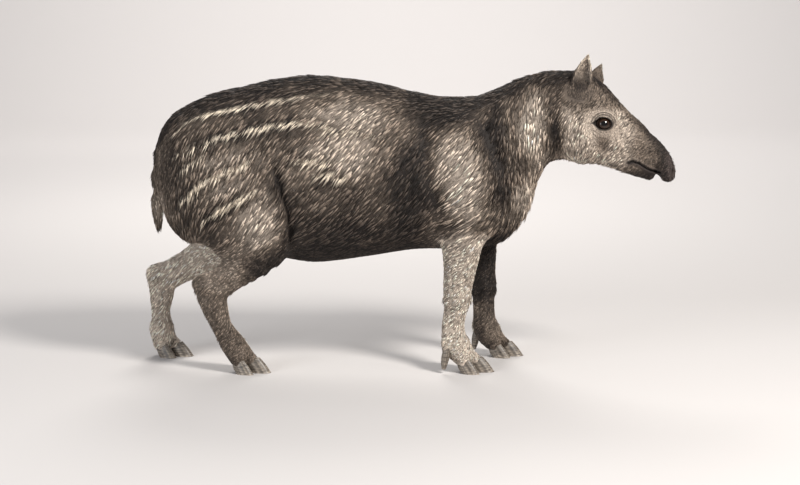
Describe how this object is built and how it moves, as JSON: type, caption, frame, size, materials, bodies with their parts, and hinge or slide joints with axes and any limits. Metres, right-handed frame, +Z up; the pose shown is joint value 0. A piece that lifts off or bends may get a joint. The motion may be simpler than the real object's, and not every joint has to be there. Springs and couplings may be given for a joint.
{
  "type": "malayan tapir",
  "caption": "Life-size young tapir standing square and alert, with a long overhanging snout, upright ears, hoofed toes and the last pale stripes of its calf coat.",
  "frame": {"origin": "on the floor, under the middle of the animal's box", "axes": "+X towards the nose, +Y to the animal's left, +Z up"},
  "size_m": [1.5622, 0.443, 0.9194],
  "materials": {
    "coat": "short, dense, lying hair over thick skin",
    "hoof": "dull dark horn, rubbed a little at the rim",
    "eye": "wet gloss"
  },
  "bodies": {
    "root": {"hindquarters": "coat", "torso_belly": "coat", "torso_chest": "coat", "tail": "coat", "neck": "coat", "head": "coat", "eye_left": "eye", "ear_left": "coat", "eye_right": "eye", "ear_right": "coat", "foreleg_left_upper": "coat", "foreleg_left_lower": "coat", "hoof_foreleg_left_inner": "hoof", "hoof_foreleg_left_middle": "hoof", "hoof_foreleg_left_outer": "hoof", "hoof_foreleg_left_small": "hoof", "foreleg_left_foot": "coat", "foreleg_right_upper": "coat", "foreleg_right_lower": "coat", "hoof_foreleg_right_inner": "hoof", "hoof_foreleg_right_middle": "hoof", "hoof_foreleg_right_outer": "hoof", "hoof_foreleg_right_small": "hoof", "foreleg_right_foot": "coat", "hindleg_left_upper": "coat", "hindleg_left_lower": "coat", "hoof_hindleg_left_inner": "hoof", "hoof_hindleg_left_middle": "hoof", "hoof_hindleg_left_outer": "hoof", "hindleg_left_foot": "coat", "hindleg_right_upper": "coat", "hindleg_right_lower": "coat", "hoof_hindleg_right_inner": "hoof", "hoof_hindleg_right_middle": "hoof", "hoof_hindleg_right_outer": "hoof", "hindleg_right_foot": "coat"}
  },
  "joints": []
}
